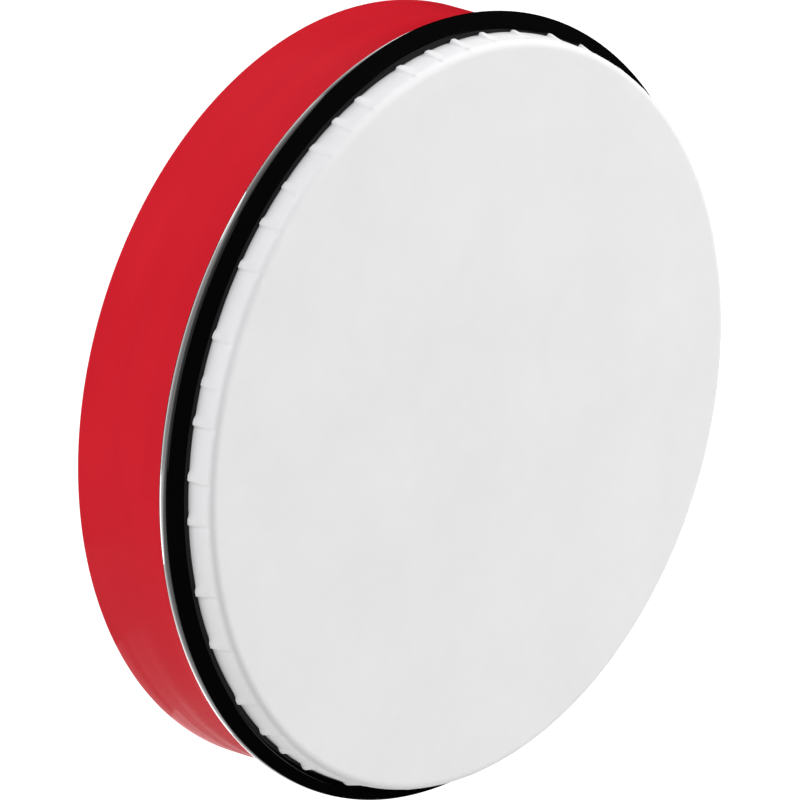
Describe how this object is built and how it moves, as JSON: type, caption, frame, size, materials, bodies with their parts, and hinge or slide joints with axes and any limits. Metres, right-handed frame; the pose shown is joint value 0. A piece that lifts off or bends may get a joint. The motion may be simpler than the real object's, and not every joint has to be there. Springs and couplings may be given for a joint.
{
  "type": "frame drum",
  "caption": "Round hand drum: red moulded ring shell, open at the back, with a white pleated skin clamped over its front edge by a flared black hoop.",
  "frame": {"origin": "centre of the open back rim's plane, which the drum rests on with its head up", "axes": "+Z along the drum's axis from the open back to the head; +X and +Y in the rim's plane, free by the drum's round symmetry"},
  "size_m": [0.2662, 0.2662, 0.057],
  "materials": {
    "shell_plastic": "satin moulded ABS, even opaque red",
    "drum_skin": "matte off-white synthetic skin with a faint cloudy grain",
    "ring_wire": "satin drawn steel wire",
    "hoop_plastic": "gloss black moulded ABS",
    "screw_steel": "satin bright zinc-plated steel"
  },
  "bodies": {
    "root": {"shell": "shell_plastic", "head": "drum_skin", "flesh_hoop": "ring_wire", "counter_hoop": "hoop_plastic", "hoop_screws": "screw_steel"}
  },
  "joints": []
}
